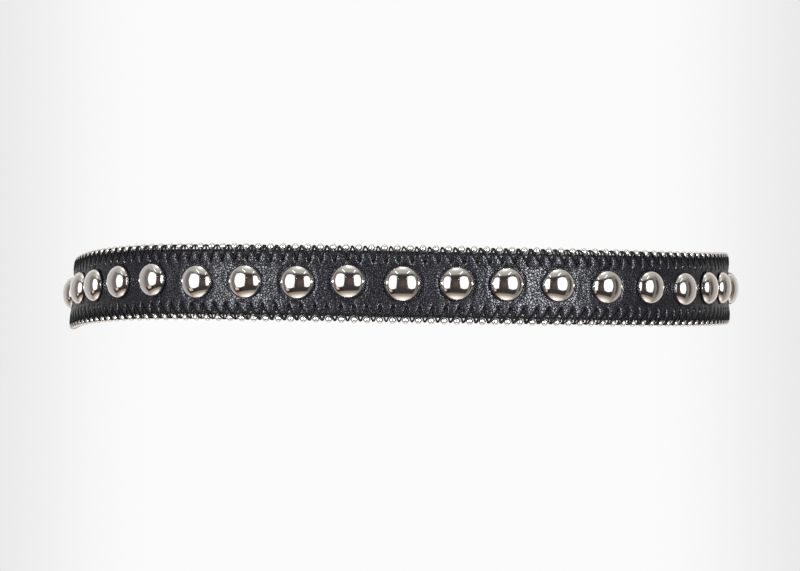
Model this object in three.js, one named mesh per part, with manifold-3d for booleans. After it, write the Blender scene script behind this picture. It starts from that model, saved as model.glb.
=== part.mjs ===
// A studded leather belt, fastened in a loop as it is worn: a strap, a row of domed studs riveted
// through it, a ball chain along each edge, and a plain sleeve that holds the strap's ends at the back.
// Millimetres. +Z is up, the front faces -Y, and the origin is the middle of the waist at belt height.

import * as THREE from 'three';
import { mergeVertices } from 'three/addons/utils/BufferGeometryUtils.js';
import Module from 'manifold-3d';

// The waist: an oval of four arcs round which the strap's inner face lies
const WAIST_HALF_WIDTH = 123.2;
const WAIST_HALF_DEPTH = 103.6;
const FRONT_ARC_ANGLE = 12.7; // degrees from the middle of the front to where a side's rounder arc starts

// Strap
const STRAP_WIDTH = 21.4;
const STRAP_THICKNESS = 2;
const STRAP_END_GAP = 1; // between the two ends, inside the sleeve

// Studs
const STUD_PITCH = 18.1; // rounded so that a whole number goes round the loop
const STUD_DIAMETER = 12.1;
const STUD_HEIGHT = 3.7;
const STUD_RIM = 0.5; // height of the straight edge under the dome
const POST_DIAMETER = 3;
const RIVET_HEAD_DIAMETER = 6.4;
const RIVET_HEAD_THICKNESS = 0.5;
const STUD_SIDES = 12;
const POST_SIDES = 8;

// Ball chains
const BEAD_DIAMETER = 2.5;
const CHAIN_SIDES = 8;
const CHAIN_STEPS = 80;

// Clasp sleeve
const SLEEVE_LENGTH = 28;
const SLEEVE_WALL = 0.9;
const SLEEVE_BEVEL = 0.7;

// Gaps between pieces
const SEAT_GAP = 0.3; // stud or chain to leather
const POST_CLEARANCE = 0.3; // post to its hole, all round
const SLEEVE_CLEARANCE = 0.3; // sleeve to what is in it
const SEAT_MARGIN = 0.2; // flat leather beyond a stud's edge
const SLEEVE_TO_STUD = 1; // least gap along the strap

// How the belt hangs. place is the share of the loop from the front towards +X, rise the height
// in strap widths, and lean the angle in degrees by which the lower edge stands out.
const HANG = [
  { place: -0.5, rise: 0.025, lean: 0 },
  { place: -0.415, rise: 0.065, lean: 0 },
  { place: -0.34, rise: 0.07, lean: 1 },
  { place: -0.29, rise: -0.02, lean: 3.5 },
  { place: -0.25, rise: -0.15, lean: 4.5 },
  { place: -0.225, rise: -0.14, lean: 4.5 },
  { place: -0.175, rise: -0.01, lean: 3 },
  { place: -0.125, rise: 0.06, lean: 1 },
  { place: -0.05, rise: 0.045, lean: 0 },
  { place: 0, rise: 0.02, lean: 0 },
  { place: 0.1, rise: -0.035, lean: 0 },
  { place: 0.16, rise: -0.06, lean: 0.5 },
  { place: 0.25, rise: -0.05, lean: 1 },
  { place: 0.305, rise: -0.06, lean: 1 },
  { place: 0.385, rise: -0.043, lean: 0.5 },
];

// The studs are set by hand, so some stand off their even places: along and up in shares of the pitch.
const STUD_SHIFTS = [
  { place: -8, along: 0.1, up: 0.02 },
  { place: -7, along: 0, up: 0.01 },
  { place: -6, along: -0.03, up: 0.03 },
  { place: -5, along: -0.03, up: 0.04 },
  { place: -4, along: 0.04, up: 0 },
  { place: -3, along: 0.05, up: 0.01 },
  { place: -2, along: 0.06, up: 0.01 },
  { place: -1, along: 0.02, up: 0.04 },
  { place: 0, along: 0.04, up: 0.01 },
  { place: 1, along: 0.05, up: 0.03 },
  { place: 2, along: 0, up: 0.03 },
  { place: 3, along: 0, up: 0.03 },
  { place: 4, along: 0.02, up: 0.01 },
  { place: 5, along: 0.07, up: 0.02 },
  { place: 6, along: 0.1, up: 0 },
  { place: 7, along: 0.07, up: 0.02 },
  { place: 8, along: -0.05, up: 0.02 },
];

const wasm = await Module();
wasm.setup();

const UP = new THREE.Vector3(0, 0, 1);

// The oval's arcs: the flatter one across the front and the back, and the rounder one at each side
const arcAngle = THREE.MathUtils.degToRad(FRONT_ARC_ANGLE);
const sine = Math.sin(arcAngle);
const cosine = Math.cos(arcAngle);
const frontRadius = (WAIST_HALF_WIDTH * cosine - WAIST_HALF_DEPTH * (1 - sine)) / (sine + cosine - 1);
const sideRadius = (WAIST_HALF_DEPTH * sine - WAIST_HALF_WIDTH * (1 - cosine)) / (sine + cosine - 1);
const frontArc = frontRadius * arcAngle;
const quarterLength = frontArc + sideRadius * (Math.PI / 2 - arcAngle);
const loopLength = 4 * quarterLength;

// A point of the oval in plan and the direction out of it, at a length from the front towards +X
function waistAt(length) {
  const around = ((length % loopLength) + loopLength) % loopLength;
  const half = around > 2 * quarterLength ? loopLength - around : around;
  const quarter = Math.min(half, 2 * quarterLength - half);
  const onFront = quarter < frontArc;
  const angle = onFront ? quarter / frontRadius : arcAngle + (quarter - frontArc) / sideRadius;
  const radius = onFront ? frontRadius : sideRadius;
  const sideways = (onFront ? 0 : WAIST_HALF_WIDTH - sideRadius) + radius * Math.sin(angle);
  const forward = (onFront ? WAIST_HALF_DEPTH - frontRadius : 0) + radius * Math.cos(angle);
  const right = around > 2 * quarterLength ? -1 : 1;
  const front = half > quarterLength ? -1 : 1;
  return {
    point: new THREE.Vector3(right * sideways, -front * forward, 0),
    level: new THREE.Vector3(right * Math.sin(angle), -front * Math.cos(angle), 0),
  };
}

// Stud places go right round the loop: an even number, so that one is at the front and one at the back.
const placeCount = 2 * Math.round(loopLength / STUD_PITCH / 2);
const pitch = loopLength / placeCount;

function shiftOf(place) {
  return STUD_SHIFTS.find((row) => row.place === place) ?? { along: 0, up: 0 };
}

function studLength(place) {
  return (place + shiftOf(place).along) * pitch;
}

// One value of the hang table at a share of the loop, on a smooth curve through the rows
function hangAt(share, column) {
  const count = HANG.length;
  let u = share;
  while (u < HANG[0].place) u += 1;
  while (u >= HANG[0].place + 1) u -= 1;
  const row = (k) => ({
    place: HANG[(k + count) % count].place + Math.floor(k / count),
    value: HANG[(k + count) % count][column],
  });
  let k = count - 1;
  while (HANG[k].place > u) k -= 1;
  const [before, from, to, after] = [row(k - 1), row(k), row(k + 1), row(k + 2)];
  const span = to.place - from.place;
  const t = (u - from.place) / span;
  const slopeFrom = ((to.value - before.value) / (to.place - before.place)) * span;
  const slopeTo = ((after.value - from.value) / (after.place - from.place)) * span;
  return (2 * t ** 3 - 3 * t ** 2 + 1) * from.value + (t ** 3 - 2 * t ** 2 + t) * slopeFrom
    + (-2 * t ** 3 + 3 * t ** 2) * to.value + (t ** 3 - t ** 2) * slopeTo;
}

// The strap's frame at a length along the loop from the front: a point on its inner face at half
// its width, with the directions out of the leather and up across it
function strapFrame(length) {
  const share = length / loopLength;
  const { point, level } = waistAt(length);
  const lean = THREE.MathUtils.degToRad(hangAt(share, 'lean'));
  const out = level.clone().multiplyScalar(Math.cos(lean)).addScaledVector(UP, Math.sin(lean));
  const up = UP.clone().multiplyScalar(Math.cos(lean)).addScaledVector(level, -Math.sin(lean));
  point.addScaledVector(UP, hangAt(share, 'rise') * STRAP_WIDTH);
  return { point, out, up };
}

function inFrame(frame, outward, upward) {
  return frame.point.clone().addScaledVector(frame.out, outward).addScaledVector(frame.up, upward);
}

// The strap is flat under each stud and bends between studs, so its corners are the ends of the flats.
const seatHalf = STUD_DIAMETER / 2 + SEAT_MARGIN;

function cornersBetween(from, to) {
  const corners = [from];
  for (let k = Math.floor(from / pitch) - 1; k * pitch < to + pitch; k += 1) {
    for (const corner of [studLength(k) - seatHalf, studLength(k) + seatHalf]) {
      if (corner > from && corner < to) corners.push(corner);
    }
  }
  return [...corners, to];
}

// A closed solid through rings of points. Seen from the first ring, each one runs clockwise.
function loft(rings) {
  const size = rings[0].length;
  const positions = rings.flat().flatMap((p) => [p.x, p.y, p.z]);
  const index = [];
  for (let i = 0; i + 1 < rings.length; i += 1) {
    for (let j = 0; j < size; j += 1) {
      const a = i * size + j;
      const b = i * size + (j + 1) % size;
      index.push(a, b + size, b, a, a + size, b + size);
    }
  }
  const last = (rings.length - 1) * size;
  for (let j = 1; j + 1 < size; j += 1) {
    index.push(0, j, j + 1, last, last + j + 1, last + j);
  }
  const geometry = new THREE.BufferGeometry();
  geometry.setAttribute('position', new THREE.Float32BufferAttribute(positions, 3));
  geometry.setIndex(index);
  return geometry;
}

function solidOf(geometry) {
  const bare = geometry.clone();
  bare.deleteAttribute('normal');
  bare.deleteAttribute('uv');
  const merged = mergeVertices(bare);
  return new wasm.Manifold(new wasm.Mesh({
    numProp: 3,
    vertProperties: new Float32Array(merged.attributes.position.array),
    triVerts: new Uint32Array(merged.index.array),
  }));
}

function geometryOf(solid) {
  const mesh = solid.getMesh();
  const geometry = new THREE.BufferGeometry();
  geometry.setAttribute('position', new THREE.BufferAttribute(mesh.vertProperties, 3));
  geometry.setIndex(new THREE.BufferAttribute(mesh.triVerts, 1));
  geometry.computeVertexNormals();
  return geometry;
}

// Where a stud sits: on its flat on the outer face, turned so that its own +Y points out
function studSeat(place) {
  const ends = [strapFrame(studLength(place) - seatHalf), strapFrame(studLength(place) + seatHalf)];
  const [a, b] = ends.map((frame) => inFrame(frame, STRAP_THICKNESS, 0));
  const along = b.clone().sub(a).normalize();
  const out = ends[0].out.clone().add(ends[1].out);
  out.addScaledVector(along, -out.dot(along)).normalize();
  const up = new THREE.Vector3().crossVectors(out, along);
  const turn = new THREE.Matrix4().makeBasis(along.clone().negate(), out, up);
  return {
    position: a.add(b).multiplyScalar(0.5).addScaledVector(up, shiftOf(place).up * pitch),
    quaternion: new THREE.Quaternion().setFromRotationMatrix(turn),
  };
}

// A profile of [radius, height] pairs turned round +Y
function turned(profile, sides) {
  return new THREE.LatheGeometry(profile.map(([radius, height]) => new THREE.Vector2(radius, height)), sides);
}

// One stud, with the leather's outer face at height 0: a domed cap, and a post with its head inside
function studGeometry() {
  const capRise = STUD_HEIGHT - STUD_RIM;
  const rim = STUD_DIAMETER / 2;
  const domeRadius = (rim ** 2 + capRise ** 2) / (2 * capRise);
  const halfAngle = Math.asin(rim / domeRadius);
  const dome = [1, 2 / 3, 1 / 3].map((share) => [
    domeRadius * Math.sin(halfAngle * share),
    SEAT_GAP + STUD_HEIGHT - domeRadius * (1 - Math.cos(halfAngle * share)),
  ]);
  const cap = turned([[0, SEAT_GAP], [rim, SEAT_GAP], ...dome, [0, SEAT_GAP + STUD_HEIGHT]], STUD_SIDES);
  const post = POST_DIAMETER / 2;
  const head = RIVET_HEAD_DIAMETER / 2;
  const headTop = -STRAP_THICKNESS - SEAT_GAP;
  const rivet = turned([
    [0, headTop - RIVET_HEAD_THICKNESS],
    [head, headTop - RIVET_HEAD_THICKNESS],
    [head, headTop],
    [post, headTop],
    [post, SEAT_GAP + STUD_RIM],
    [0, SEAT_GAP + STUD_RIM],
  ], POST_SIDES);
  return geometryOf(solidOf(cap).add(solidOf(rivet)));
}

// The strap, from one end at the back round the front to the other, with a hole for each post
function strapGeometry(seats) {
  const end = loopLength / 2 - STRAP_END_GAP / 2;
  const half = STRAP_WIDTH / 2;
  const rings = cornersBetween(-end, end).map((length) => {
    const frame = strapFrame(length);
    return [
      inFrame(frame, 0, -half),
      inFrame(frame, STRAP_THICKNESS, -half),
      inFrame(frame, STRAP_THICKNESS, half),
      inFrame(frame, 0, half),
    ];
  });
  const holeRadius = POST_DIAMETER / 2 + POST_CLEARANCE;
  const drill = new THREE.CylinderGeometry(holeRadius, holeRadius, 4 * STRAP_THICKNESS, POST_SIDES);
  let strap = solidOf(loft(rings));
  for (const seat of seats) {
    const matrix = new THREE.Matrix4().compose(seat.position, seat.quaternion, new THREE.Vector3(1, 1, 1));
    strap = strap.subtract(solidOf(drill.clone().applyMatrix4(matrix)));
  }
  return geometryOf(strap);
}

const chainOffset = STRAP_WIDTH / 2 + SEAT_GAP + BEAD_DIAMETER / 2;

// A ball chain's envelope: a tube of the beads' diameter beyond one edge of the strap
function chainGeometry(side) {
  const end = loopLength / 2 - STRAP_END_GAP / 2;
  const points = [];
  for (let step = 0; step <= CHAIN_STEPS; step += 1) {
    const frame = strapFrame(THREE.MathUtils.lerp(-end, end, step / CHAIN_STEPS));
    points.push(inFrame(frame, STRAP_THICKNESS / 2, side * chainOffset));
  }
  const section = new THREE.Shape();
  section.absarc(0, 0, BEAD_DIAMETER / 2, 0, 2 * Math.PI);
  return new THREE.ExtrudeGeometry(new THREE.Shape(section.getPoints(CHAIN_SIDES).slice(0, CHAIN_SIDES)), {
    steps: CHAIN_STEPS,
    extrudePath: new THREE.CatmullRomCurve3(points),
  });
}

// A box section with bevelled corners, round the strap and both chains
function sleeveRing(frame, spread, bevel) {
  const thick = Math.max(STRAP_THICKNESS, BEAD_DIAMETER) / 2 + spread;
  const high = chainOffset + BEAD_DIAMETER / 2 + spread;
  const middle = STRAP_THICKNESS / 2;
  return [
    [-thick + bevel, -high], [thick - bevel, -high], [thick, -high + bevel], [thick, high - bevel],
    [thick - bevel, high], [-thick + bevel, high], [-thick, high - bevel], [-thick, -high + bevel],
  ].map(([outward, upward]) => inFrame(frame, middle + outward, upward));
}

function sleeveGeometry() {
  const back = loopLength / 2;
  const body = (halfLength, spread, bevel) => solidOf(loft(
    cornersBetween(back - halfLength, back + halfLength).map((s) => sleeveRing(strapFrame(s), spread, bevel)),
  ));
  const outside = body(SLEEVE_LENGTH / 2, SLEEVE_CLEARANCE + SLEEVE_WALL, SLEEVE_BEVEL);
  const hollow = body(SLEEVE_LENGTH / 2 + SLEEVE_WALL, SLEEVE_CLEARANCE, SLEEVE_CLEARANCE / 2);
  return geometryOf(outside.subtract(hollow));
}

const leather = new THREE.MeshStandardMaterial({ color: 0x17181b, roughness: 0.5, metalness: 0 });
const nickel = new THREE.MeshStandardMaterial({ color: 0xd9d4cc, roughness: 0.08, metalness: 1 });
const chainMetal = new THREE.MeshStandardMaterial({ color: 0xdcdcdc, roughness: 0.15, metalness: 1 });
const sleeveMetal = new THREE.MeshStandardMaterial({ color: 0xc8c6c2, roughness: 0.3, metalness: 1 });

const belt = new THREE.Group();

function addPiece(name, geometry, material, seat) {
  const mesh = new THREE.Mesh(geometry, material);
  mesh.name = name;
  if (seat) {
    mesh.position.copy(seat.position);
    mesh.quaternion.copy(seat.quaternion);
  }
  belt.add(mesh);
}

// Studs fill every place that is clear of the sleeve.
const clearOfSleeve = SLEEVE_LENGTH / 2 + STUD_DIAMETER / 2 + SLEEVE_TO_STUD;
const seats = [];
for (let place = -placeCount / 2; place < placeCount / 2; place += 1) {
  if (loopLength / 2 - Math.abs(place) * pitch >= clearOfSleeve) seats.push(studSeat(place));
}

addPiece('strap', strapGeometry(seats), leather);
const stud = studGeometry();
seats.forEach((seat, number) => {
  addPiece(`stud_${String(number + 1).padStart(2, '0')}`, stud, nickel, seat);
});
addPiece('chain_top', chainGeometry(1), chainMetal);
addPiece('chain_bottom', chainGeometry(-1), chainMetal);
addPiece('clasp_sleeve', sleeveGeometry(), sleeveMetal);

export default belt;
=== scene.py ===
"""The looks of the studded belt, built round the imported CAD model. Sizes are in millimetres, and
meshes are turned to metres as they are made. The belt's front faces -Y and +Z is up."""

import math
import random

import bpy
import numpy as np
from mathutils import Matrix, Vector, noise


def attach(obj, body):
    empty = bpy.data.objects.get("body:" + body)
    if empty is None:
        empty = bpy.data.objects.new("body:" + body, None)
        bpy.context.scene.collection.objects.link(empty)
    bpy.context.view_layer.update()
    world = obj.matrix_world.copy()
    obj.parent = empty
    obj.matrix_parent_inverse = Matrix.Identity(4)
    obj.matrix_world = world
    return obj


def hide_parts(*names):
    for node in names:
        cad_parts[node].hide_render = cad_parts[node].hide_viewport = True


MM = 0.001

# The waist oval, the strap and what is on it, as the CAD model has them
WAIST_HALF_WIDTH = 123.2
WAIST_HALF_DEPTH = 103.6
FRONT_ARC_ANGLE = math.radians(12.7)
STRAP_WIDTH = 21.4
STRAP_THICKNESS = 2
STRAP_END_GAP = 1
STUD_PITCH = 18.1
STUD_DIAMETER = 12.1
STUD_HEIGHT = 3.7
POST_DIAMETER = 3
RIVET_HEAD_DIAMETER = 6.4
RIVET_HEAD_THICKNESS = 0.5
BEAD_DIAMETER = 2.5
SLEEVE_LENGTH = 28
SLEEVE_WALL = 0.9
SEAT_GAP = 0.3
SLEEVE_CLEARANCE = 0.3
SEAT_MARGIN = 0.2
SLEEVE_TO_STUD = 1

# How the belt hangs: place is the share of the loop from the front towards +X, rise is in strap
# widths, and lean is the angle in degrees by which the lower edge stands out.
HANG = [
    {"place": -0.5, "rise": 0.025, "lean": 0},
    {"place": -0.415, "rise": 0.065, "lean": 0},
    {"place": -0.34, "rise": 0.07, "lean": 1},
    {"place": -0.29, "rise": -0.02, "lean": 3.5},
    {"place": -0.25, "rise": -0.15, "lean": 4.5},
    {"place": -0.225, "rise": -0.14, "lean": 4.5},
    {"place": -0.175, "rise": -0.01, "lean": 3},
    {"place": -0.125, "rise": 0.06, "lean": 1},
    {"place": -0.05, "rise": 0.045, "lean": 0},
    {"place": 0, "rise": 0.02, "lean": 0},
    {"place": 0.1, "rise": -0.035, "lean": 0},
    {"place": 0.16, "rise": -0.06, "lean": 0.5},
    {"place": 0.25, "rise": -0.05, "lean": 1},
    {"place": 0.305, "rise": -0.06, "lean": 1},
    {"place": 0.385, "rise": -0.043, "lean": 0.5},
]

# Studs that stand off their even places: along and up, in shares of the pitch. Place 0 is in front.
STUD_SHIFTS = {
    -8: {"along": 0.1, "up": 0.02},
    -7: {"along": 0, "up": 0.01},
    -6: {"along": -0.03, "up": 0.03},
    -5: {"along": -0.03, "up": 0.04},
    -4: {"along": 0.04, "up": 0},
    -3: {"along": 0.05, "up": 0.01},
    -2: {"along": 0.06, "up": 0.01},
    -1: {"along": 0.02, "up": 0.04},
    0: {"along": 0.04, "up": 0.01},
    1: {"along": 0.05, "up": 0.03},
    2: {"along": 0, "up": 0.03},
    3: {"along": 0, "up": 0.03},
    4: {"along": 0.02, "up": 0.01},
    5: {"along": 0.07, "up": 0.02},
    6: {"along": 0.1, "up": 0},
    7: {"along": 0.07, "up": 0.02},
    8: {"along": -0.05, "up": 0.02},
}
NO_SHIFT = {"along": 0, "up": 0}

# Studs
DOME_BASE = 0.1  # under side of the dome, above the leather
DOME_HEM = 0.45  # flat part of the under side, in from the rim
HEAD_GAP = 0.12  # rivet head to leather
HEAD_CROWN = 0.25  # how far the head's middle stands out
DOME_STEPS = 22
STUD_SIDES = 44
STUD_TILT = math.radians(1.3)
STUD_SEED = 100
FRONT_STUD_GROWTH = 1.05  # the stud in front is a little larger than the others

# Chain and lacing. The sides are 1 at the top of the strap and -1 at the bottom.
SIDES = (1, -1)
BEAD_PITCH = 4.36
ROUND_BEAD = 2.45  # a bead itself, inside the chain's envelope
BEAD_RINGS = 12
BEAD_SIDES = 20
LINK_DIAMETER = 0.28
LINK_SIDES = 10
LINK_SHARES = (0.2, 0.4, 0.6, 0.8)  # points of a link, between the middles of two beads
CHAIN_SHIFT = {1: 1.06, -1: -0.54}  # along the strap
THREAD_DIAMETER = 0.58
THREAD_SIDES = 6
WRAP_HALF_GAP = 0.2  # each gap between two beads holds two turns of thread, side by side
WRAP_OUTSIDE = 0.72  # how far the turns reach past the middle of the chain
TURN_DEPTH = 0.25  # a turn's highest point, out of the strap's middle
STITCH_DEPTH = 0.75  # how far the thread dips into a needle hole
HOLE_INSET = 2.6  # needle holes, in from the strap's edge
HOLE_SCATTER = 0.05  # of a hole along the strap, in bead pitches
LACING_SEED = 7

# How far the needle holes run ahead of the beads, in bead pitches: mean, swing, and the swing's
# wavelength and start in millimetres along the strap
DRIFT = {
    1: {"mean": 0.17, "swing": 0.2, "wave": 420, "start": 0},
    -1: {"mean": 0.02, "swing": 0.43, "wave": 420, "start": -5},
}

# Leather relief at the lacing
PUFF = 0.3  # between two arms of thread
PUFF_FADE = 1.5  # how far the puffs run on past the needle holes
FULL_PUFF = 1 / 1.6  # width from which a puff has its full height, in bead pitches
SINK = 0.35  # inside each V of thread
CREASE = 0.18  # under the thread
CREASE_WIDTH = 0.4
HOLE_DEPTH = 0.9
HOLE_ALONG = 0.42
HOLE_ACROSS = 0.95
EDGE_AT_BEAD = 0.3  # how far the laced edge is drawn out towards a bead
EDGE_IN_GAP = 0.65  # how far it comes out between two beads
RIM_LOSS = 0.4  # share of the relief that is lost at the strap's rim
BACK_SHARE = 0.3  # share of the relief that the inner face has

# Leather relief round a stud, and of the whole face
SEAT_FADE = 2.2
DENT = 0.26  # ring pressed in by a stud's rim
DENT_WIDTH = 0.55
LIP = 0.08  # raised ring round the dent
LIP_WIDTH = 0.7
LIP_DISTANCE = 1.2  # from the stud's rim
WAVE = 0.12
BROAD_WAVE = (15, 8)  # along and across the strap
SHORT_WAVE = (6, 4)

# Strap mesh
STEPS_PER_BEAD = 14
EDGE_ROUND = 0.85
EDGE_ANGLES = (55, 10, -50)
FACE_HALF = 5.4  # half of the outer face's middle zone
FACE_ROWS = 8
BORDER_START = 6.3
BORDER_ROWS = 11
BACK_ROWS = 6

# Clasp sleeve mesh
SLEEVE_STEPS = 15
SLEEVE_BEVEL = 0.25
CORNER_STEPS = 5
INSIDE_CORNER = 0.4
OUTSIDE_CORNER = 1.1

# Leather grain: the size of a pebble, and the heights of its dome, its crease and the wrinkles
PEBBLE = 0.85
PEBBLE_DOME = 0.085
PEBBLE_CREASE = 0.03
WRINKLE = 0.06
LEATHER_DARK = (0.0035, 0.0036, 0.0054)
LEATHER_LIGHT = (0.005, 0.0052, 0.0075)
THREAD_DARK = (0.0015, 0.0015, 0.002)
THREAD_LIGHT = (0.004, 0.004, 0.005)

# Camera, from the photograph: focal length over sensor width is that of 0.34 mm a pixel at the front
PHOTO_WIDTH = 800
MM_PER_PIXEL = 0.34
CAMERA_DISTANCE = 800  # from the belt's front
CAMERA_ASIDE = -0.2
CAMERA_HEIGHT = 0

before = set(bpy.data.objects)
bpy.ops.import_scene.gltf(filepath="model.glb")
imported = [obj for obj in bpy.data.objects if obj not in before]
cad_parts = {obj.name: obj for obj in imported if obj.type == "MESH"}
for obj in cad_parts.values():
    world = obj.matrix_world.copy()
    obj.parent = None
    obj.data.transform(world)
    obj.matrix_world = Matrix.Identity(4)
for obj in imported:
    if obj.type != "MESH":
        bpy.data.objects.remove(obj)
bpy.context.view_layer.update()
random.seed(4533)

quarter_sine = math.sin(FRONT_ARC_ANGLE)
quarter_cosine = math.cos(FRONT_ARC_ANGLE)
ARC_DIVISOR = quarter_sine + quarter_cosine - 1
FRONT_RADIUS = (WAIST_HALF_WIDTH * quarter_cosine - WAIST_HALF_DEPTH * (1 - quarter_sine)) / ARC_DIVISOR
SIDE_RADIUS = (WAIST_HALF_DEPTH * quarter_sine - WAIST_HALF_WIDTH * (1 - quarter_cosine)) / ARC_DIVISOR
FRONT_ARC = FRONT_RADIUS * FRONT_ARC_ANGLE
QUARTER = FRONT_ARC + SIDE_RADIUS * (math.pi / 2 - FRONT_ARC_ANGLE)
LOOP = 4 * QUARTER
PLACES = 2 * round(LOOP / STUD_PITCH / 2)
PITCH = LOOP / PLACES
SEAT_HALF = STUD_DIAMETER / 2 + SEAT_MARGIN
STRAP_END = LOOP / 2 - STRAP_END_GAP / 2
CHAIN_OFFSET = STRAP_WIDTH / 2 + SEAT_GAP + BEAD_DIAMETER / 2
HOLE_ROW = STRAP_WIDTH / 2 - HOLE_INSET
APEX = CHAIN_OFFSET + WRAP_OUTSIDE - THREAD_DIAMETER / 2
BEADS = round(2 * STRAP_END / BEAD_PITCH)
BEAD_STEP = 2 * STRAP_END / BEADS


# The belt's path

def waist_at(length):
    """A point of the oval in plan and the direction out of it."""
    around = length % LOOP
    half = LOOP - around if around > 2 * QUARTER else around
    quarter = min(half, 2 * QUARTER - half)
    if quarter < FRONT_ARC:
        angle = quarter / FRONT_RADIUS
        sideways = FRONT_RADIUS * math.sin(angle)
        forward = WAIST_HALF_DEPTH - FRONT_RADIUS + FRONT_RADIUS * math.cos(angle)
    else:
        angle = FRONT_ARC_ANGLE + (quarter - FRONT_ARC) / SIDE_RADIUS
        sideways = WAIST_HALF_WIDTH - SIDE_RADIUS + SIDE_RADIUS * math.sin(angle)
        forward = SIDE_RADIUS * math.cos(angle)
    right = -1 if around > 2 * QUARTER else 1
    front = -1 if half > QUARTER else 1
    point = np.array([right * sideways, -front * forward, 0])
    level = np.array([right * math.sin(angle), -front * math.cos(angle), 0])
    return point, level


def hang_at(share, column):
    """One value of the hang table, on a smooth curve through its rows."""
    count = len(HANG)
    first = HANG[0]["place"]
    u = (share - first) % 1 + first
    k = max(i for i in range(count) if HANG[i]["place"] <= u)
    rows = [(HANG[i % count]["place"] + i // count, HANG[i % count][column]) for i in range(k - 1, k + 3)]
    (p0, v0), (p1, v1), (p2, v2), (p3, v3) = rows
    span = p2 - p1
    t = (u - p1) / span
    m1 = (v2 - v0) / (p2 - p0) * span
    m2 = (v3 - v1) / (p3 - p1) * span
    return ((2 * t**3 - 3 * t**2 + 1) * v1 + (t**3 - 2 * t**2 + t) * m1
            + (3 * t**2 - 2 * t**3) * v2 + (t**3 - t**2) * m2)


def strap_frame(length):
    """A point on the inner face at half the strap's width, and the directions out and up."""
    share = length / LOOP
    point, level = waist_at(length)
    lean = math.radians(hang_at(share, "lean"))
    zenith = np.array([0, 0, 1.0])
    out = level * math.cos(lean) + zenith * math.sin(lean)
    up = zenith * math.cos(lean) - level * math.sin(lean)
    return point + zenith * hang_at(share, "rise") * STRAP_WIDTH, out, up


def on_strap(length, outward, upward):
    """A point by its length along the belt, out of the inner face and up from the middle."""
    point, out, up = strap_frame(length)
    return point + out * outward + up * upward


def stud_length(place):
    return (place + STUD_SHIFTS.get(place, NO_SHIFT)["along"]) * PITCH


def stud_rise(place):
    return STUD_SHIFTS.get(place, NO_SHIFT)["up"] * PITCH


def smooth(low, high, value):
    t = np.clip((value - low) / (high - low), 0, 1)
    return t * t * (3 - 2 * t)


# Blender helpers

def add_piece(name, vertices, faces, material, replaced=()):
    """One mesh object in metres that rides on the belt."""
    mesh = bpy.data.meshes.new(name)
    mesh.from_pydata((np.asarray(vertices) * MM).tolist(), [], faces)
    mesh.polygons.foreach_set("use_smooth", [True] * len(mesh.polygons))
    mesh.update()
    piece = bpy.data.objects.new(name, mesh)
    bpy.context.scene.collection.objects.link(piece)
    mesh.materials.append(material)
    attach(piece, "root")
    if replaced:
        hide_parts(*replaced)
    return piece


def grid_faces(columns, rows, around=True):
    """Quads over columns of rows. The rows close on themselves where around is true."""
    faces = []
    for i in range(columns - 1):
        for j in range(rows if around else rows - 1):
            a = i * rows + j
            b = i * rows + (j + 1) % rows
            faces.append((a, b, b + rows, a + rows))
    return faces


def tube(points, radius, sides):
    """Vertices and faces of a tube along points, with closed ends."""
    points = np.asarray(points)
    tangents = np.gradient(points, axis=0)
    tangents /= np.linalg.norm(tangents, axis=1)[:, None]
    side = np.cross(tangents[0], [0.3, 0.5, 0.8])
    vertices = []
    for point, tangent in zip(points, tangents):
        side = side - tangent * np.dot(side, tangent)
        side /= np.linalg.norm(side)
        other = np.cross(tangent, side)
        for j in range(sides):
            angle = 2 * math.pi * j / sides
            vertices.append(point + radius * (side * math.cos(angle) + other * math.sin(angle)))
    faces = grid_faces(len(points), sides)
    last = (len(points) - 1) * sides
    faces.append(tuple(range(sides - 1, -1, -1)))
    faces.append(tuple(range(last, last + sides)))
    return vertices, faces


def join(parts):
    """One list of vertices and faces out of several."""
    vertices = []
    faces = []
    for some_vertices, some_faces in parts:
        start = len(vertices)
        vertices.extend(some_vertices)
        faces.extend(tuple(start + i for i in face) for face in some_faces)
    return vertices, faces


# Materials

def new_material(name):
    material = bpy.data.materials.new(name)
    material.use_nodes = True
    nodes = material.node_tree.nodes
    shader = nodes["Principled BSDF"]
    return material, nodes, material.node_tree.links, shader


def texture(nodes, links, kind, size, **sockets):
    """A 3D texture of features about size millimetres across, in the object's own space."""
    place = nodes.new("ShaderNodeTexCoord")
    node = nodes.new(kind)
    node.inputs["Scale"].default_value = 1 / (size * MM)
    for name, value in sockets.items():
        node.inputs[name].default_value = value
    links.new(place.outputs["Object"], node.inputs["Vector"])
    return node


def ramp(nodes, links, source, low, high, start=0.0, end=1.0, kind="LINEAR"):
    """The source mapped from start..end to low..high, clamped."""
    node = nodes.new("ShaderNodeMapRange")
    node.interpolation_type = kind
    node.inputs["From Min"].default_value = start
    node.inputs["From Max"].default_value = end
    node.inputs["To Min"].default_value = low
    node.inputs["To Max"].default_value = high
    links.new(source, node.inputs["Value"])
    return node.outputs["Result"]


def mix_colour(nodes, links, factor, dark, light):
    """A colour between two, for a factor from 0 to 1."""
    node = nodes.new("ShaderNodeMix")
    node.data_type = "RGBA"
    node.inputs["A"].default_value = (*dark, 1)
    node.inputs["B"].default_value = (*light, 1)
    links.new(factor, node.inputs["Factor"])
    return node.outputs["Result"]


def bump(nodes, links, height, distance, strength, before=None):
    """A bumped normal, with the distance in millimetres, on top of the one before."""
    node = nodes.new("ShaderNodeBump")
    node.inputs["Distance"].default_value = distance * MM
    node.inputs["Strength"].default_value = strength
    links.new(height, node.inputs["Height"])
    if before:
        links.new(before, node.inputs["Normal"])
    return node.outputs["Normal"]


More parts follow.
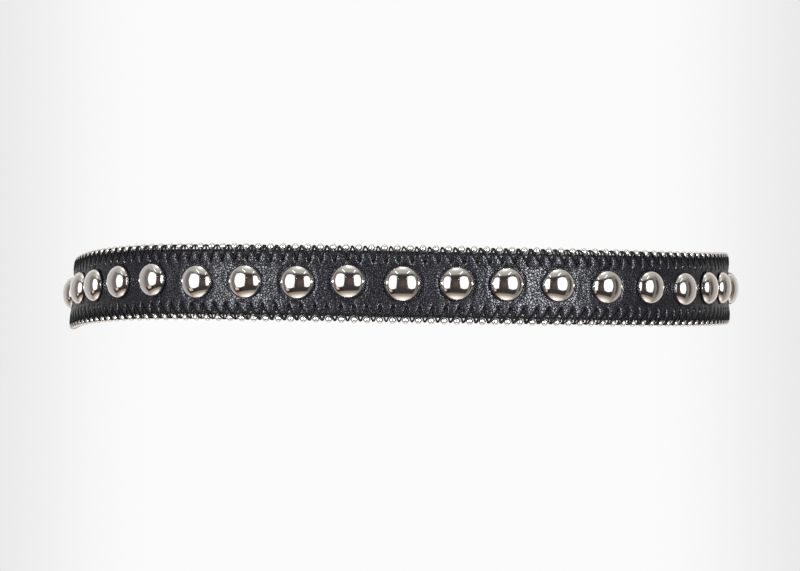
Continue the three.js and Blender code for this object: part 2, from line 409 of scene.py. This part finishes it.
def leather_material():
    """Black leather: low round pebbles, narrow creases between them, and slow wrinkles."""
    material, nodes, links, shader = new_material("black_leather")
    warp = texture(nodes, links, "ShaderNodeTexNoise", 1.4, Detail=1)
    place = nodes.new("ShaderNodeTexCoord")
    shift = nodes.new("ShaderNodeVectorMath")
    shift.operation = "MULTIPLY_ADD"
    shift.inputs[1].default_value = (0.5 * PEBBLE * MM,) * 3
    links.new(warp.outputs["Color"], shift.inputs[0])
    links.new(place.outputs["Object"], shift.inputs[2])
    pebbles = texture(nodes, links, "ShaderNodeTexVoronoi", PEBBLE)
    creases = texture(nodes, links, "ShaderNodeTexVoronoi", PEBBLE)
    creases.feature = "DISTANCE_TO_EDGE"
    for node in (pebbles, creases):
        links.new(shift.outputs["Vector"], node.inputs["Vector"])
    wrinkles = texture(nodes, links, "ShaderNodeTexNoise", 1.3, Detail=2)
    patches = texture(nodes, links, "ShaderNodeTexNoise", 14, Detail=3)
    square = nodes.new("ShaderNodeMath")
    square.operation = "MULTIPLY"
    for socket in square.inputs[:2]:
        links.new(pebbles.outputs["Distance"], socket)
    dome = bump(nodes, links, ramp(nodes, links, square.outputs[0], 1, 0), PEBBLE_DOME, 1)
    flat = ramp(nodes, links, creases.outputs["Distance"], 0, 1, 0, 0.12)
    grain = bump(nodes, links, flat, PEBBLE_CREASE, 1, dome)
    links.new(bump(nodes, links, wrinkles.outputs["Fac"], WRINKLE, 1, grain), shader.inputs["Normal"])
    colour = mix_colour(nodes, links, patches.outputs["Fac"], LEATHER_DARK, LEATHER_LIGHT)
    links.new(colour, shader.inputs["Base Color"])
    links.new(ramp(nodes, links, patches.outputs["Fac"], 0.27, 0.33, 0.3, 0.7), shader.inputs["Roughness"])
    shader.inputs["Specular Tint"].default_value = (0.92, 0.93, 1, 1)
    # Painted shade: the specular is turned down in the narrow creases between pebbles, as if they were
    # shadowed
    painted_crease_shade = ramp(nodes, links, creases.outputs["Distance"], 0.06, 0.5, 0.05, 0.17)
    links.new(painted_crease_shade, shader.inputs["Specular IOR Level"])
    return material


def nickel_material(name, colour, roughness):
    """Bright plated metal with a faint unevenness."""
    material, nodes, links, shader = new_material(name)
    uneven = texture(nodes, links, "ShaderNodeTexNoise", 2.5, Detail=2)
    haze = texture(nodes, links, "ShaderNodeTexNoise", 0.4, Detail=4)
    shader.inputs["Metallic"].default_value = 1
    tint = mix_colour(nodes, links, uneven.outputs["Fac"], [0.96 * c for c in colour], colour)
    links.new(tint, shader.inputs["Base Color"])
    rough = ramp(nodes, links, haze.outputs["Fac"], 0.6 * roughness, 1.4 * roughness, 0.3, 0.7)
    links.new(rough, shader.inputs["Roughness"])
    links.new(bump(nodes, links, uneven.outputs["Fac"], 0.03, 0.25), shader.inputs["Normal"])
    return material


def thread_material():
    """Black waxed thread with its twist as fine slanted ridges."""
    material, nodes, links, shader = new_material("black_thread")
    twist = texture(nodes, links, "ShaderNodeTexWave", 0.5, Distortion=1.5)
    colour = mix_colour(nodes, links, twist.outputs["Fac"], THREAD_DARK, THREAD_LIGHT)
    links.new(colour, shader.inputs["Base Color"])
    links.new(ramp(nodes, links, twist.outputs["Fac"], 0.5, 0.7), shader.inputs["Roughness"])
    shader.inputs["Specular IOR Level"].default_value = 0.25
    links.new(bump(nodes, links, twist.outputs["Fac"], 0.06, 0.5), shader.inputs["Normal"])
    return material


def sleeve_material():
    """Satin metal, brushed along the sleeve's height."""
    material, nodes, links, shader = new_material("satin_metal")
    place = nodes.new("ShaderNodeTexCoord")
    stretch = nodes.new("ShaderNodeMapping")
    stretch.inputs["Scale"].default_value = (6000, 6000, 150)
    brush = nodes.new("ShaderNodeTexNoise")
    brush.inputs["Scale"].default_value = 1
    brush.inputs["Detail"].default_value = 3
    links.new(place.outputs["Object"], stretch.inputs["Vector"])
    links.new(stretch.outputs["Vector"], brush.inputs["Vector"])
    shader.inputs["Metallic"].default_value = 1
    colour = mix_colour(nodes, links, brush.outputs["Fac"], (0.5, 0.49, 0.47), (0.66, 0.65, 0.62))
    links.new(colour, shader.inputs["Base Color"])
    links.new(ramp(nodes, links, brush.outputs["Fac"], 0.24, 0.4, 0.3, 0.7), shader.inputs["Roughness"])
    links.new(bump(nodes, links, brush.outputs["Fac"], 0.02, 0.4), shader.inputs["Normal"])
    return material


# Lacing places

def drift(length, side):
    """How far a needle hole runs ahead of its bead, in bead pitches."""
    row = DRIFT[side]
    return row["mean"] + row["swing"] * math.sin(2 * math.pi * (length - row["start"]) / row["wave"])


def bead_places(side):
    return [-STRAP_END + (i + 0.5) * BEAD_STEP + CHAIN_SHIFT[side] for i in range(BEADS)]


def lacing(side):
    """Lengths of the needle holes, one for each bead, and of the gaps between beads."""
    maker = random.Random(LACING_SEED + side)
    beads = bead_places(side)
    holes = [b + BEAD_STEP * (drift(b, side) + maker.uniform(-HOLE_SCATTER, HOLE_SCATTER)) for b in beads]
    gaps = [beads[0] - BEAD_STEP / 2] + [b + BEAD_STEP / 2 for b in beads]
    return np.array(holes), np.array(gaps)


LACING = {side: lacing(side) for side in SIDES}


def edge_growth(lengths, side):
    """How far the laced edge is drawn out: less under a bead than between two."""
    first = bead_places(side)[0]
    from_bead = np.abs((lengths - first + BEAD_STEP / 2) % BEAD_STEP - BEAD_STEP / 2)
    return EDGE_AT_BEAD + (EDGE_IN_GAP - EDGE_AT_BEAD) * smooth(0.2, 1, from_bead)


def lacing_relief(lengths, upward):
    """Height added by puffs and creases of the laced border. The thread's arms run from a hole to
    the gaps on both sides of its bead, so puffs and hollows take turns along the strap."""
    side = 1 if upward[0] > 0 else -1
    holes, gaps = LACING[side]
    last = len(holes) - 1
    across = np.abs(upward)
    reach = np.clip((across - HOLE_ROW) / (APEX - HOLE_ROW), 0, 1)
    cell = np.clip(((lengths - gaps[0]) // BEAD_STEP).astype(int), 0, last)

    def arm(bead, gap):
        hole = holes[np.clip(bead, 0, last)]
        return hole + (gaps[np.clip(gap, 0, last + 1)] - hole) * reach

    left = arm(cell, cell)
    right = arm(cell, cell + 1)
    low = np.where(lengths < left, arm(cell - 1, cell), np.where(lengths > right, right, left))
    high = np.where(lengths < left, left, np.where(lengths > right, arm(cell + 1, cell + 1), right))
    under_arch = (lengths < left) | (lengths > right)
    width = np.maximum(high - low, 1e-6)
    share = np.clip((lengths - low) / width, 0, 1)
    hump = np.sin(math.pi * share) * np.minimum(width / BEAD_STEP / FULL_PUFF, 1)
    near = np.minimum(np.abs(lengths - low), np.abs(high - lengths))
    from_hole = np.abs(lengths - holes[cell])
    for other in (cell - 1, cell + 1):
        from_hole = np.minimum(from_hole, np.abs(lengths - holes[np.clip(other, 0, last)]))
    slit = HOLE_DEPTH * np.exp(-((from_hole / HOLE_ALONG) ** 2) - ((across - HOLE_ROW) / HOLE_ACROSS) ** 2)
    crease = CREASE * np.exp(-((near / CREASE_WIDTH) ** 2))
    laced = np.where(under_arch, PUFF, -SINK) * hump - crease
    fade = np.exp(-(((across - HOLE_ROW) / PUFF_FADE) ** 2))
    plain = PUFF * fade * np.where(under_arch, hump, 0)
    return np.where(across >= HOLE_ROW, laced, plain) - slit


# Strap

def section():
    """Rows round the strap's section: outward, upward, and whether on the outer face or a rim."""
    half = STRAP_WIDTH / 2
    flat = half - EDGE_ROUND
    middle = STRAP_THICKNESS / 2
    border = np.linspace(BORDER_START, flat, BORDER_ROWS)
    outer = [-w for w in border[::-1]] + list(np.linspace(-FACE_HALF, FACE_HALF, FACE_ROWS)) + list(border)
    angles = [math.radians(angle) for angle in EDGE_ANGLES]
    rows = [(STRAP_THICKNESS, w, "outer") for w in outer]
    rows += [(middle + middle * math.sin(a), flat + EDGE_ROUND * math.cos(a), "rim") for a in angles]
    rows += [(0, w, "inner") for w in np.linspace(flat, -flat, BACK_ROWS)]
    rows += [(middle + middle * math.sin(a), -flat - EDGE_ROUND * math.cos(a), "rim") for a in angles[::-1]]
    return rows


def stud_relief(lengths, upward):
    """The flat seat under each stud, the ring its rim presses in and the lip round that. Also the
    share of the face's slow waves that is left there."""
    relief = np.zeros(len(lengths))
    free = np.ones(len(lengths))
    rim = STUD_DIAMETER / 2
    for place in range(-PLACES // 2, PLACES // 2 + 1):
        if not has_stud(place):
            continue
        along = lengths - stud_length(place)
        radius = FRONT_RADIUS if near_front(place) else SIDE_RADIUS
        across = np.hypot(along, upward - stud_rise(place))
        flat = 1 - smooth(SEAT_HALF, SEAT_HALF + SEAT_FADE, across)
        relief -= flat * (SEAT_HALF**2 - along**2) / (2 * radius)
        relief -= DENT * np.exp(-(((across - rim) / DENT_WIDTH) ** 2))
        relief += LIP * np.exp(-(((across - rim - LIP_DISTANCE) / LIP_WIDTH) ** 2))
        free -= flat
    return relief, free


def near_front(place):
    """Whether a place is on one of the oval's flatter arcs, in front or at the back."""
    around = abs(place * PITCH)
    return min(around, LOOP / 2 - around) < FRONT_ARC


def has_stud(place):
    clear = SLEEVE_LENGTH / 2 + STUD_DIAMETER / 2 + SLEEVE_TO_STUD
    return -PLACES // 2 <= place < PLACES // 2 and LOOP / 2 - abs(place) * PITCH >= clear


def make_strap(material):
    """The strap as rows of points round its section, at even steps from end to end."""
    lengths = np.linspace(-STRAP_END, STRAP_END, BEADS * STEPS_PER_BEAD + 1)
    frames = [strap_frame(s) for s in lengths]
    points = np.array([f[0] for f in frames])
    outs = np.array([f[1] for f in frames])
    ups = np.array([f[2] for f in frames])
    rows = section()
    growth = {side: edge_growth(lengths, side) for side in SIDES}
    grid = np.empty((len(lengths), len(rows), 3))
    for j, (outward, upward, part) in enumerate(rows):
        side = 1 if upward > 0 else -1
        rim_share = smooth(HOLE_ROW + 0.2, STRAP_WIDTH / 2 - 0.2, abs(upward))
        spread = upward + side * rim_share * growth[side]
        relief = lacing_relief(lengths, spread) * (1 - RIM_LOSS * rim_share)
        if part == "outer":
            seats, free = stud_relief(lengths, upward)
            lift = relief + seats + WAVE * free * np.array([slow_wave(s, upward) for s in lengths])
        elif part == "inner":
            lift = -BACK_SHARE * relief
        else:
            lift = np.zeros(len(lengths))
        grid[:, j] = points + outs * (outward + lift)[:, None] + ups * spread[:, None]
    faces = grid_faces(len(lengths), len(rows))
    last = (len(lengths) - 1) * len(rows)
    faces.append(tuple(range(len(rows) - 1, -1, -1)))
    faces.append(tuple(range(last, last + len(rows))))
    return add_piece("strap_leather", grid.reshape(-1, 3), faces, material, ["strap"])


def slow_wave(length, upward):
    """The unevenness of the whole face, from two scales of noise."""
    broad = noise.noise(Vector((length / BROAD_WAVE[0], upward / BROAD_WAVE[1], 0.7)))
    return broad + 0.5 * noise.noise(Vector((length / SHORT_WAVE[0], upward / SHORT_WAVE[1], 5)))


# Studs

def stud_profile():
    """Radius and height above the leather, from the middle of the rivet's back to the dome's top.
    The dome is half an ellipse: flatter on top and steep at its edge."""
    rim = STUD_DIAMETER / 2
    base = DOME_BASE
    post = POST_DIAMETER / 2
    head = RIVET_HEAD_DIAMETER / 2
    head_top = -STRAP_THICKNESS - HEAD_GAP
    head_low = head_top - RIVET_HEAD_THICKNESS
    profile = [(0, head_low - HEAD_CROWN), (head * 0.6, head_low - 0.15), (head - 0.2, head_low + 0.02)]
    profile += [(head, head_top - 0.2), (head - 0.08, head_top), (post, head_top), (post, base)]
    profile += [(rim - DOME_HEM, base), (rim - 0.06, base + 0.02)]
    rise = STUD_HEIGHT + SEAT_GAP - base
    for i in range(1, DOME_STEPS + 1):
        angle = math.pi / 2 * i / DOME_STEPS
        profile.append((rim * math.cos(angle), base + rise * math.sin(angle)))
    profile[-1] = (0, base + rise)
    return profile


def lathe(profile, sides):
    """Vertices round +Z and faces of a turned solid whose profile starts and ends on the axis."""
    rings = profile[1:-1]
    vertices = [(0, 0, profile[0][1])]
    for radius, height in rings:
        for j in range(sides):
            angle = 2 * math.pi * j / sides
            vertices.append((radius * math.cos(angle), radius * math.sin(angle), height))
    vertices.append((0, 0, profile[-1][1]))
    faces = [(0, 1 + (j + 1) % sides, 1 + j) for j in range(sides)]
    for i in range(len(rings) - 1):
        a = 1 + i * sides
        for j in range(sides):
            k = (j + 1) % sides
            faces.append((a + j, a + k, a + sides + k, a + sides + j))
    a = 1 + (len(rings) - 1) * sides
    faces += [(a + j, a + (j + 1) % sides, len(vertices) - 1) for j in range(sides)]
    return np.array(vertices, float), faces


def stud_seat(place):
    """The middle of a stud's flat on the outer face, and the directions along, up and out of it."""
    ends = [strap_frame(stud_length(place) + side * SEAT_HALF) for side in (-1, 1)]
    a, b = [point + out * STRAP_THICKNESS for point, out, _ in ends]
    along = (b - a) / np.linalg.norm(b - a)
    out = ends[0][1] + ends[1][1]
    out -= along * np.dot(out, along)
    out /= np.linalg.norm(out)
    up = np.cross(out, along)
    return (a + b) / 2 + up * stud_rise(place), along, up, out


def make_studs(material):
    """The studs in their seats, each tilted a little by chance."""
    vertices, faces = lathe(stud_profile(), STUD_SIDES)
    places = [p for p in range(-PLACES // 2, PLACES // 2) if has_stud(p)]
    for number, place in enumerate(places, 1):
        centre, along, up, out = stud_seat(place)
        maker = random.Random(STUD_SEED + place)
        tilt = [maker.gauss(0, STUD_TILT) for _ in range(2)]
        turn = Matrix.Rotation(tilt[0], 3, "X") @ Matrix.Rotation(tilt[1], 3, "Y")
        growth = FRONT_STUD_GROWTH if place == 0 else 1
        local = vertices * [growth, growth, 1] @ np.array(turn).T
        placed = centre + local @ np.array([along, up, out])
        node = f"stud_{number:02d}"
        add_piece(f"{node}_dome", placed, faces, material, [node])


# Chains

def make_chain(name, side, material, node):
    """Round beads on short links, along one edge of the strap."""
    beads = bead_places(side)
    radius = ROUND_BEAD / 2
    angles = [math.pi * i / BEAD_RINGS for i in range(BEAD_RINGS + 1)]
    ball, ball_faces = lathe([(radius * math.sin(a), -radius * math.cos(a)) for a in angles], BEAD_SIDES)
    parts = []
    for s in beads:
        centre = on_strap(s, STRAP_THICKNESS / 2, side * CHAIN_OFFSET)
        ahead = on_strap(s + 0.5, STRAP_THICKNESS / 2, side * CHAIN_OFFSET) - centre
        ahead /= np.linalg.norm(ahead)
        _, out, _ = strap_frame(s)
        across = np.cross(ahead, out)
        parts.append((list(centre + ball @ np.array([out, across, ahead])), ball_faces))
    for s in beads[:-1]:
        line = [on_strap(s + BEAD_STEP * share, STRAP_THICKNESS / 2, side * CHAIN_OFFSET)
                for share in LINK_SHARES]
        parts.append(tube(line, LINK_DIAMETER / 2, LINK_SIDES))
    vertices, faces = join(parts)
    return add_piece(name, vertices, faces, material, [node])


# Thread

def thread_line(side, face):
    """The zigzag of one thread: out of a needle hole, over the chain between two beads, and back.
    The face is 1 on the outside of the strap and -1 on the inside."""
    holes, gaps = LACING[side]
    middle = STRAP_THICKNESS / 2
    skin = middle + face * middle
    # An arm from its hole to the chain: how far up the strap, and how far out of its inner face
    arm = [
        (HOLE_ROW + 0.1, skin - face * 0.1),
        (HOLE_ROW + 0.6, skin + face * 0.1),
        (STRAP_WIDTH / 2 - 0.7, skin + face * 0.12),
        (STRAP_WIDTH / 2 + 0.5, skin + face * 0.06),
        (CHAIN_OFFSET - 0.3, middle + face * 0.95),
        (CHAIN_OFFSET + 0.3, middle + face * 0.75),
    ]

    def climb(hole, turn):
        """The points of an arm from a needle hole up to its turn over the chain."""
        points = []
        for upward, outward in arm:
            share = (upward - HOLE_ROW) / (APEX - HOLE_ROW)
            points.append(on_strap(hole + (turn - hole) * share, outward, side * upward))
        points.append(on_strap(turn, middle + face * TURN_DEPTH, side * APEX))
        return points

    line = []
    for hole, before, after in zip(holes, gaps[:-1], gaps[1:]):
        if before > gaps[0]:
            line += climb(hole, before + WRAP_HALF_GAP)[::-1]
        line.append(on_strap(hole, skin - face * STITCH_DEPTH, side * (HOLE_ROW - 0.1)))
        if after < gaps[-1]:
            line += climb(hole, after - WRAP_HALF_GAP)
    return line


def make_thread(name, side, material):
    """One thread on the outside of the strap and one on the inside."""
    parts = [tube(thread_line(side, face), THREAD_DIAMETER / 2, THREAD_SIDES) for face in (1, -1)]
    vertices, faces = join(parts)
    return add_piece(name, vertices, faces, material)


# Clasp sleeve

def make_sleeve(material):
    """The plain sleeve at the back: a flat tube with rounded corners and an even wall."""
    back = LOOP / 2
    lengths = np.linspace(back - SLEEVE_LENGTH / 2, back + SLEEVE_LENGTH / 2, SLEEVE_STEPS)
    middle = STRAP_THICKNESS / 2

    def ring(length, spread, corner):
        thick = max(STRAP_THICKNESS, BEAD_DIAMETER) / 2 + spread
        high = CHAIN_OFFSET + BEAD_DIAMETER / 2 + spread
        points = []
        for quarter, (o, w) in enumerate([(1, 1), (-1, 1), (-1, -1), (1, -1)]):
            for i in range(CORNER_STEPS + 1):
                a = math.pi / 2 * (quarter + i / CORNER_STEPS)
                points.append(on_strap(length, middle + o * (thick - corner) + corner * math.cos(a),
                                       w * (high - corner) + corner * math.sin(a)))
        return points

    wall = SLEEVE_CLEARANCE + SLEEVE_WALL
    within = np.clip(lengths, lengths[0] + SLEEVE_BEVEL, lengths[-1] - SLEEVE_BEVEL)
    ends = [(SLEEVE_CLEARANCE + 0.2, 0.5), (wall - SLEEVE_BEVEL, 0.9)]
    rings = [ring(within[0], SLEEVE_CLEARANCE, INSIDE_CORNER)]
    rings += [ring(lengths[0], spread, corner) for spread, corner in ends]
    rings += [ring(s, wall, OUTSIDE_CORNER) for s in within]
    rings += [ring(lengths[-1], spread, corner) for spread, corner in ends[::-1]]
    rings += [ring(s, SLEEVE_CLEARANCE, INSIDE_CORNER) for s in within[::-1]]
    count = len(rings[0])
    vertices = [p for r in rings for p in r]
    faces = grid_faces(len(rings), count)
    first_again = (len(rings) - 1) * count
    for j in range(count):
        k = (j + 1) % count
        faces.append((first_again + j, first_again + k, k, j))
    return add_piece("sleeve_metal", vertices, faces, material, ["clasp_sleeve"])


# Studio

def direction(azimuth, elevation):
    """Unit vector. Azimuth is in degrees from the camera's side of the belt, positive to the right."""
    a = math.radians(azimuth)
    e = math.radians(elevation)
    return Vector((math.sin(a) * math.cos(e), -math.cos(a) * math.cos(e), math.sin(e)))


def area_lamp(name, place, across, width, height, radiance, shape="RECTANGLE"):
    """A flat lamp at a place, turned to the belt's front, with its width along across."""
    lamp = bpy.data.lights.new(name, "AREA")
    lamp.shape = shape
    lamp.size = width * MM
    lamp.size_y = height * MM
    lamp.energy = radiance * math.pi * lamp.size * lamp.size_y
    if shape == "ELLIPSE":
        lamp.energy *= math.pi / 4
    obj = bpy.data.objects.new(name, lamp)
    toward = (place - FRONT_MIDDLE).normalized()
    side = (across - toward * across.dot(toward)).normalized()
    top = toward.cross(side)
    turn = Matrix((side, top, toward)).transposed()
    obj.matrix_world = Matrix.Translation(place * MM) @ turn.to_4x4()
    obj.visible_camera = False
    bpy.context.scene.collection.objects.link(obj)


def softbox(name, azimuth, elevation, distance, width, height, glow):
    """A soft box of nested lamps, whose corners are dimmer. Each row of the glow is a share of the
    box's size, a radiance and a shape."""
    toward = direction(azimuth, elevation)
    across = Vector((-toward.y, toward.x, 0))
    for number, (share, radiance, shape) in enumerate(glow):
        place = FRONT_MIDDLE + toward * (distance - 2 * number)
        area_lamp(f"{name}_{number}", place, across, width * share, height * share, radiance, shape)


def strip(name, start, end, distance, width, radiance):
    """A narrow lamp between two directions, each an azimuth and an elevation."""
    a = FRONT_MIDDLE + direction(*start) * distance
    b = FRONT_MIDDLE + direction(*end) * distance
    area_lamp(name, (a + b) / 2, b - a, (b - a).length, width, radiance)


FRONT_MIDDLE = Vector((0, -WAIST_HALF_DEPTH - STRAP_THICKNESS, 0))
SOFTBOX_GLOW = [(1, 0.7, "RECTANGLE"), (1.12, 0.7, "ELLIPSE")]
SOFTBOX_DISTANCE = 750
FLASH_DISTANCE = 745
STRIP_DISTANCE = 900
BULB_DISTANCE = 800

# What the metal sees of the room, in layers that each cover the ones before. A layer fades in from
# the first angle of a pair to the second, in degrees, and one with two pairs fades out again.
ROOM = (0.045, 0.042, 0.044)
ROOM_LAYERS = [
    {"azimuth": [(-24, 4), (36, 6)], "elevation": [(-26, -2), (26, 0)], "colour": (0.12, 0.08, 0.075)},
    {"azimuth": [(60, 72)], "colour": (0.24, 0.22, 0.2)},
    {"azimuth": [(-60, -72)], "colour": (0.2, 0.175, 0.18)},
    {"azimuth": [(76, 81), (94, 87)], "elevation": [(-30, -20), (30, 20)], "colour": (0.06, 0.055, 0.05)},
    {"azimuth": [(90, 112)], "colour": (0.5, 0.47, 0.44)},
    {"azimuth": [(-80, -112)], "colour": (0.52, 0.51, 0.5)},
    {"elevation": [(34, 50)], "colour": (0.47, 0.47, 0.44)},
    {"elevation": [(56, 76)], "colour": (0.8, 0.77, 0.72)},
    {"azimuth": [(-96, -84), (-30, -44)], "elevation": [(-54, -48), (-18, -26)],
     "colour": (0.03, 0.018, 0.012)},
    {"azimuth": [(-80, -74), (-52, -58)], "elevation": [(-36, -32), (-20, -24)],
     "colour": (0.78, 0.62, 0.52)},
    {"elevation": [(-40, -50)], "colour": (0.38, 0.32, 0.265)},
    {"elevation": [(-52, -72)], "colour": (0.98, 0.91, 0.83)},
    {"azimuth": [(120, 140)], "colour": (0.8, 0.77, 0.74)},
    {"azimuth": [(-120, -140)], "colour": (0.8, 0.78, 0.76)},
    {"azimuth": [(152, 164)], "elevation": [(-44, -30), (50, 34)], "colour": (0.12, 0.11, 0.11)},
    {"azimuth": [(-152, -164)], "elevation": [(-44, -30), (50, 34)], "colour": (0.12, 0.11, 0.11)},
    {"azimuth": [(-178, -175), (-160, -164)], "elevation": [(-16, -12), (28, 24)],
     "colour": (1.6, 1.6, 1.6)},
    {"elevation": [(76, 82)], "colour": (1.9, 1.86, 1.8)},
    {"elevation": [(-76, -82)], "colour": (1.9, 1.83, 1.72)},
]
BACKDROP_MIDDLE = (0.965, 0.965, 0.967)
BACKDROP_SIDES = (0.8, 0.8, 0.805)
BACKDROP_FADE = (0.1, 0.19)  # sideways part of the direction from the camera
EVEN_LIGHT = (0.9, 0.9, 0.9, 1)
FLOOR_RADIUS = 1200
FLOOR_SIDES = 96
FLOOR_LEVEL = -320


def make_world():
    """A pale backdrop for the camera, even soft light, and a room for the metal to mirror."""
    world = bpy.data.worlds.new("studio")
    world.use_nodes = True
    bpy.context.scene.world = world
    nodes = world.node_tree.nodes
    links = world.node_tree.links
    nodes.clear()
    place = nodes.new("ShaderNodeTexCoord")
    parts = nodes.new("ShaderNodeSeparateXYZ")
    links.new(place.outputs["Generated"], parts.inputs[0])

    def maths(operation, first, second=None):
        node = nodes.new("ShaderNodeMath")
        node.operation = operation
        for socket, value in zip(node.inputs, (first, second)):
            if isinstance(value, (int, float)):
                socket.default_value = value
            elif value is not None:
                links.new(value, socket)
        return node.outputs[0]

    toward_camera = maths("MULTIPLY", parts.outputs["Y"], -1)
    azimuth = maths("ARCTAN2", parts.outputs["X"], toward_camera)
    elevation = maths("ARCSINE", parts.outputs["Z"])

    colour = None
    for layer in ROOM_LAYERS:
        mask = 1.0
        for angle, socket in (("azimuth", azimuth), ("elevation", elevation)):
            for start, full in layer.get(angle, []):
                fade = ramp(nodes, links, socket, 0, 1, math.radians(start), math.radians(full), "SMOOTHSTEP")
                mask = maths("MULTIPLY", fade, mask)
        covered = mix_colour(nodes, links, mask, ROOM, layer["colour"])
        if colour:
            links.new(colour, covered.node.inputs["A"])
        colour = covered

    mirrored = nodes.new("ShaderNodeBackground")
    links.new(colour, mirrored.inputs["Color"])
    even = nodes.new("ShaderNodeBackground")
    even.inputs["Color"].default_value = EVEN_LIGHT
    seen = nodes.new("ShaderNodeBackground")
    sideways = ramp(nodes, links, maths("ABSOLUTE", parts.outputs["X"]), 0, 1, *BACKDROP_FADE, "SMOOTHSTEP")
    links.new(mix_colour(nodes, links, sideways, BACKDROP_MIDDLE, BACKDROP_SIDES), seen.inputs["Color"])
    path = nodes.new("ShaderNodeLightPath")
    soft = nodes.new("ShaderNodeMixShader")
    links.new(path.outputs["Is Diffuse Ray"], soft.inputs["Fac"])
    links.new(mirrored.outputs["Background"], soft.inputs[1])
    links.new(even.outputs["Background"], soft.inputs[2])
    mix = nodes.new("ShaderNodeMixShader")
    links.new(path.outputs["Is Camera Ray"], mix.inputs["Fac"])
    links.new(soft.outputs["Shader"], mix.inputs[1])
    links.new(seen.outputs["Background"], mix.inputs[2])
    output = nodes.new("ShaderNodeOutputWorld")
    links.new(mix.outputs["Shader"], output.inputs["Surface"])


def make_floor():
    """A plain pale disc, which the metal doesn't mirror."""
    material, nodes, links, shader = new_material("pale_floor")
    tone = texture(nodes, links, "ShaderNodeTexNoise", 200, Detail=2)
    links.new(mix_colour(nodes, links, tone.outputs["Fac"], (0.86, 0.86, 0.86), (0.88, 0.88, 0.88)),
              shader.inputs["Base Color"])
    shader.inputs["Roughness"].default_value = 0.9
    angles = [2 * math.pi * i / FLOOR_SIDES for i in range(FLOOR_SIDES)]
    vertices = [(FLOOR_RADIUS * math.cos(a), FLOOR_RADIUS * math.sin(a), FLOOR_LEVEL) for a in angles]
    mesh = bpy.data.meshes.new("floor")
    mesh.from_pydata((np.array(vertices) * MM).tolist(), [], [tuple(range(FLOOR_SIDES))])
    mesh.materials.append(material)
    floor = bpy.data.objects.new("floor", mesh)
    bpy.context.scene.collection.objects.link(floor)
    floor.visible_glossy = False


def make_camera():
    """The photograph's camera, level and straight in front of the belt."""
    camera = bpy.data.cameras.new("camera")
    camera.sensor_width = 36
    camera.lens = camera.sensor_width * CAMERA_DISTANCE / (MM_PER_PIXEL * PHOTO_WIDTH)
    camera.clip_start = 0.05
    obj = bpy.data.objects.new("camera", camera)
    depth = WAIST_HALF_DEPTH + STRAP_THICKNESS + CAMERA_DISTANCE
    obj.location = (CAMERA_ASIDE * MM, -depth * MM, CAMERA_HEIGHT * MM)
    obj.rotation_euler = (math.pi / 2, 0, 0)
    bpy.context.scene.collection.objects.link(obj)
    bpy.context.scene.camera = obj


bpy.context.scene.view_settings.view_transform = "Standard"
make_camera()
make_world()
make_floor()
softbox("softbox_right", 43, 5, SOFTBOX_DISTANCE, 580, 700, SOFTBOX_GLOW)
softbox("softbox_left", -47, 6, SOFTBOX_DISTANCE, 630, 760, SOFTBOX_GLOW)
softbox("flash_right", 38, 5, FLASH_DISTANCE, 240, 320, [(1, 36, "ELLIPSE")])
softbox("flash_left", -43, 6, FLASH_DISTANCE, 250, 310, [(1, 27, "ELLIPSE")])
strip("strip_right", (61, 56), (27, 43), STRIP_DISTANCE, 30, 3)
strip("strip_left", (-61, 56), (-27, 43), STRIP_DISTANCE, 30, 3)
softbox("bulb_right", 17, 18, BULB_DISTANCE, 20, 20, [(1, 6, "ELLIPSE")])
softbox("bulb_left", -16, 18, BULB_DISTANCE, 20, 20, [(1, 6, "ELLIPSE")])

leather = leather_material()
nickel = nickel_material("polished_nickel", (0.86, 0.83, 0.79), 0.07)
chain_metal = nickel_material("chain_nickel", (0.92, 0.9, 0.88), 0.28)
thread = thread_material()

make_strap(leather)
make_studs(nickel)
make_chain("chain_top_beads", 1, chain_metal, "chain_top")
make_chain("chain_bottom_beads", -1, chain_metal, "chain_bottom")
make_thread("lacing_top", 1, thread)
make_thread("lacing_bottom", -1, thread)
make_sleeve(sleeve_material())
